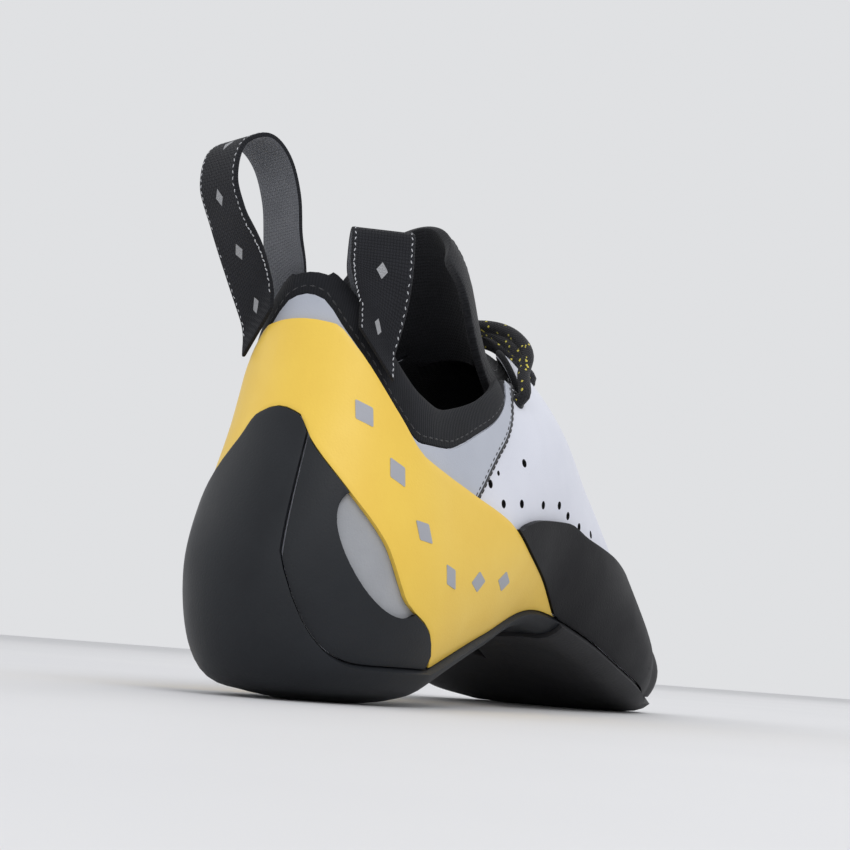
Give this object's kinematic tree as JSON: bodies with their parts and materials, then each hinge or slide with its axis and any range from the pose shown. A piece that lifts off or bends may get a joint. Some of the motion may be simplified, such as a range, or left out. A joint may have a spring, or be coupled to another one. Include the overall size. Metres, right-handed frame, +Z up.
{
  "type": "climbing shoe",
  "caption": "Right-foot lace-up climbing shoe with rubber rand, slingshot heel band, stretch collar and webbing pull loops, standing empty on its sole.",
  "frame": {"origin": "middle of the shoe's box, on the floor that its sole stands on (the slack lace is left out of the box)", "axes": "+Y from heel to toe, +X to the wearer's right, which is the outer side of this right shoe, +Z up"},
  "size_m": [0.0798, 0.2276, 0.1223],
  "materials": {
    "pale_fabric": "matte",
    "grey_board": "matte",
    "black_fabric": "matte",
    "yellow_rubber": "satin",
    "black_rubber": "matte",
    "lace_cord": "matte",
    "webbing": "matte"
  },
  "bodies": {
    "root": {"upper": "pale_fabric", "insole": "grey_board", "collar_cuff": "black_fabric", "tension_band": "yellow_rubber", "heel_strip": "black_rubber", "heel_panel_left": "black_rubber", "heel_panel_right": "black_rubber", "heel_sole": "black_rubber", "outsole": "black_rubber", "toe_rand": "black_rubber", "tongue": "black_fabric", "lace_crossings": "lace_cord", "lace_top": "lace_cord", "pull_loop_left": "webbing", "pull_loop_right": "webbing"}
  },
  "joints": []
}
